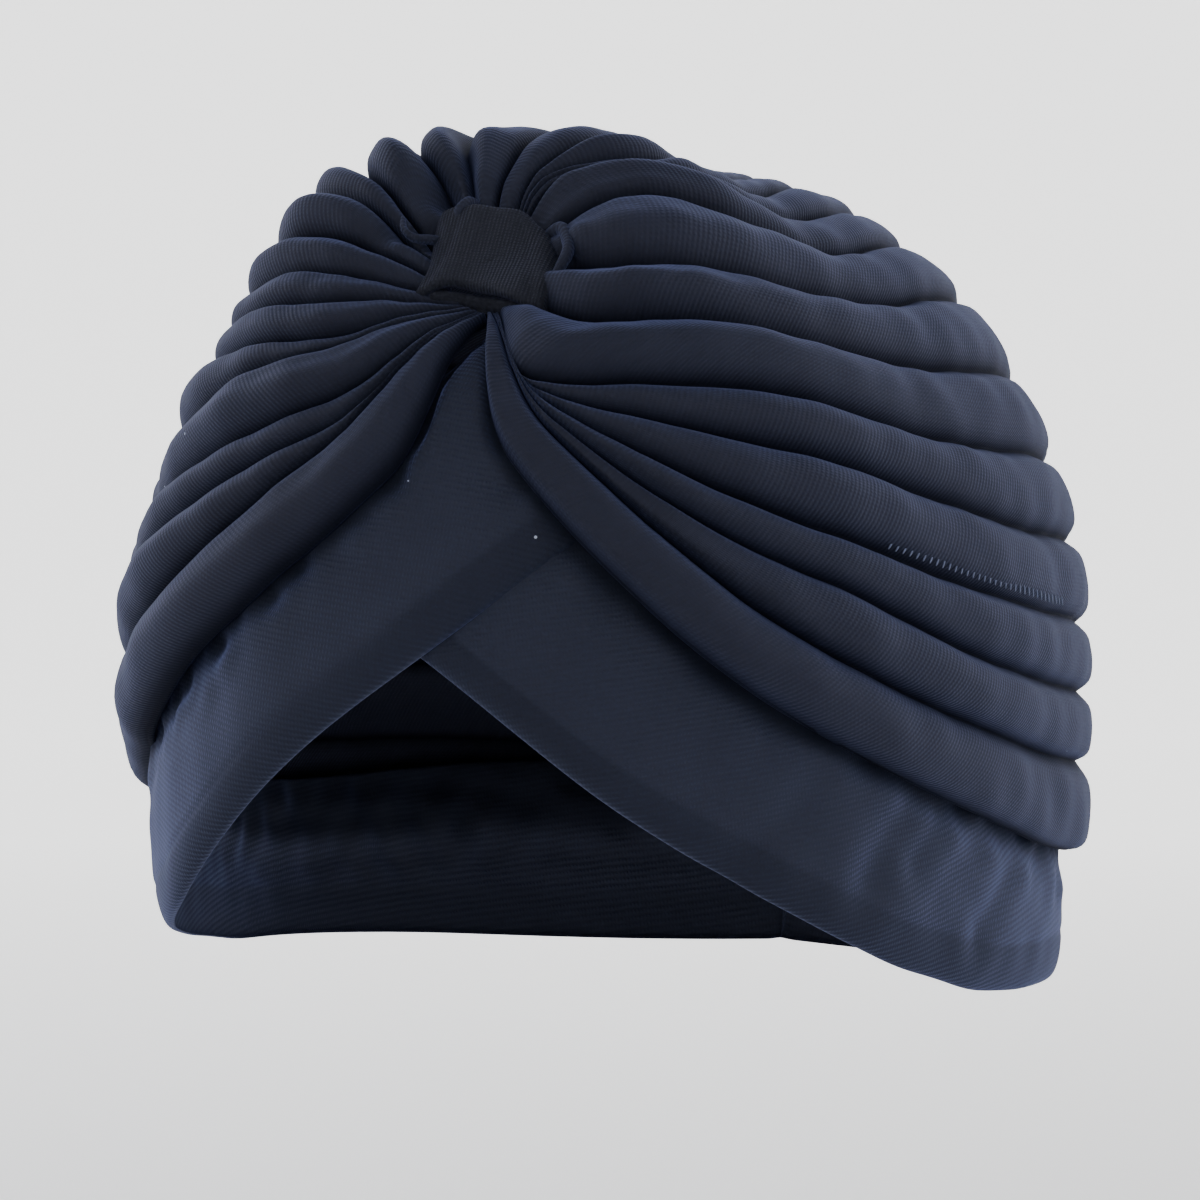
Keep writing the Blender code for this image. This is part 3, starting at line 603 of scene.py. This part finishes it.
def overlock(look):
    t = np.linspace(look["from"], look["to"], 60)
    seams = np.linspace(crown["seamLow"], crown["seamHigh"], len(leftFolds))
    d = valley(leftFolds[look["row"]], seams[look["row"]], 1, t)
    above = valley(leftFolds[look["row"] + 1], seams[look["row"] + 1], 1, t)
    along = unitVector(np.gradient(d, axis=0))
    across = unitVector(above - d)
    d = unitVector(d + across * 0.016)
    spots = d * (ground(d) + 0.0011)[:, None]
    mesh = bpy.data.meshes.new("overlock_stitches")
    mesh.from_pydata(spots.tolist(), [(i, i + 1) for i in range(len(t) - 1)], [])
    lay = mesh.attributes.new("lay", "FLOAT_VECTOR", "POINT")
    lay.data.foreach_set("vector", unitVector(across + look["slant"] * along).astype(np.float32).ravel())
    guide = bpy.data.objects.new("overlock_guide", mesh)
    bpy.context.scene.collection.objects.link(guide)
    rows = guide.modifiers.new("stitches", "NODES")
    rows.node_group = stitchNodes(threadMaterial())
    for socket in rows.node_group.interface.items_tree:
        if socket.in_out == "INPUT" and socket.name in look:
            rows[socket.identifier] = look[socket.name]
    bpy.context.view_layer.update()
    shaped = guide.evaluated_get(bpy.context.evaluated_depsgraph_get())
    made = bpy.data.objects.new("overlock_stitches", bpy.data.meshes.new_from_object(shaped))
    bpy.context.scene.collection.objects.link(made)
    bpy.data.objects.remove(guide, do_unlink=True)
    print("overlock_stitches", len(made.data.polygons), "faces")
    return made


stitches = overlock(stitching)
print("cloth made")

# Hang the pieces from the root body and hide the frame parts they stand for.
for piece, node, finish in ((crownLeft, "pleated_crown", "crown_jersey"),
                            (crownRight, "pleated_crown", "crown_jersey"),
                            (bandOver, "band_over", "band_jersey"), (bandUnder, "band_under", "band_jersey"),
                            (curlLeft, "pleated_crown", "crown_jersey"), (curlRight, "pleated_crown", "crown_jersey"),
                            (curlTop, "pleated_crown", "crown_jersey"), (curlLowShadow, "pleated_crown", "crown_jersey"),
                            (stitches, "pleated_crown", "crown_jersey"), (knotTab, "knot_tab", "tab_jersey")):
    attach(piece, "root")
    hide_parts(node)

# Floor, backdrop and light.
studio = {"glow": 0.95, "glowFrom": 0.45, "glowTo": 1.6, "floor": -0.17, "radius": 3.2, "corner": 1.0, "tall": 2.6}


def makeBackdrop(look):
    bend = np.radians(np.linspace(0, 90, 24))
    flat = look["radius"] - look["corner"]
    across = [0.02, flat * 0.3, flat * 0.7] + list(flat + look["corner"] * np.sin(bend)) + [look["radius"]]
    tall = [0, 0, 0] + list(look["corner"] * (1 - np.cos(bend))) + [look["tall"]]
    sides = 96
    turn = np.linspace(0, 2 * math.pi, sides, endpoint=False)
    verts = [(r * math.cos(w), r * math.sin(w), look["floor"] + h) for r, h in zip(across, tall) for w in turn]
    faces = [(j * sides + k, j * sides + (k + 1) % sides, (j + 1) * sides + (k + 1) % sides, (j + 1) * sides + k)
             for j in range(len(across) - 1) for k in range(sides)]
    faces.append(tuple(range(sides)))
    mesh = bpy.data.meshes.new("backdrop")
    mesh.from_pydata(verts, [], faces)
    mesh.shade_smooth()
    # White paper: matt. It glows a little away from the wrap, so that it stays pale behind it.
    paper = bpy.data.materials.new("white backdrop paper")
    paper.use_nodes = True
    shader = paper.node_tree.nodes["Principled BSDF"]
    shader.inputs["Base Color"].default_value = hexColour("#f4f4f4")
    shader.inputs["Roughness"].default_value = 0.95
    shader.inputs["Emission Color"].default_value = hexColour("#ffffff")
    tree = paper.node_tree
    place = addNode(tree, "ShaderNodeTexCoord").outputs["Object"]
    flatPlace = addNode(tree, "ShaderNodeVectorMath", {0: place, 1: (1.0, 1.0, 0.0)}, operation="MULTIPLY")
    away = addNode(tree, "ShaderNodeVectorMath", {0: flatPlace.outputs["Vector"]}, operation="LENGTH")
    spread = addNode(tree, "ShaderNodeMapRange", {"Value": away.outputs["Value"], "From Min": look["glowFrom"],
                                                  "From Max": look["glowTo"], "To Min": 0.0, "To Max": look["glow"]})
    tree.links.new(spread.outputs["Result"], shader.inputs["Emission Strength"])
    mesh.materials.append(paper)
    made = bpy.data.objects.new("backdrop", mesh)
    bpy.context.scene.collection.objects.link(made)
    return made


makeBackdrop(studio)

lamps = [{"name": "left softbox", "place": (-1.25, 0.15, 0.45), "size": 0.8, "power": 6.0, "tint": "#e9edff"},
         {"name": "top softbox", "place": (-0.35, -0.55, 1.4), "size": 1.0, "power": 5.0, "tint": "#ffffff"},
         {"name": "right softbox", "place": (1.2, 0.15, 0.25), "size": 0.8, "power": 6.0, "tint": "#e9edff"}]


def addLamp(look):
    light = bpy.data.lights.new(look["name"], "AREA")
    light.shape = "DISK"
    light.size = look["size"]
    light.energy = look["power"]
    light.color = hexColour(look["tint"])[:3]
    lamp = bpy.data.objects.new(look["name"], light)
    bpy.context.scene.collection.objects.link(lamp)
    lamp.location = look["place"]
    lamp.rotation_euler = Vector(look["place"]).to_track_quat("Z", "Y").to_euler()


for lamp in lamps:
    addLamp(lamp)

world = bpy.data.worlds.new("studio light")
bpy.context.scene.world = world
world.use_nodes = True
world.node_tree.nodes["Background"].inputs["Color"].default_value = hexColour("#ffffff")
world.node_tree.nodes["Background"].inputs["Strength"].default_value = 0.50
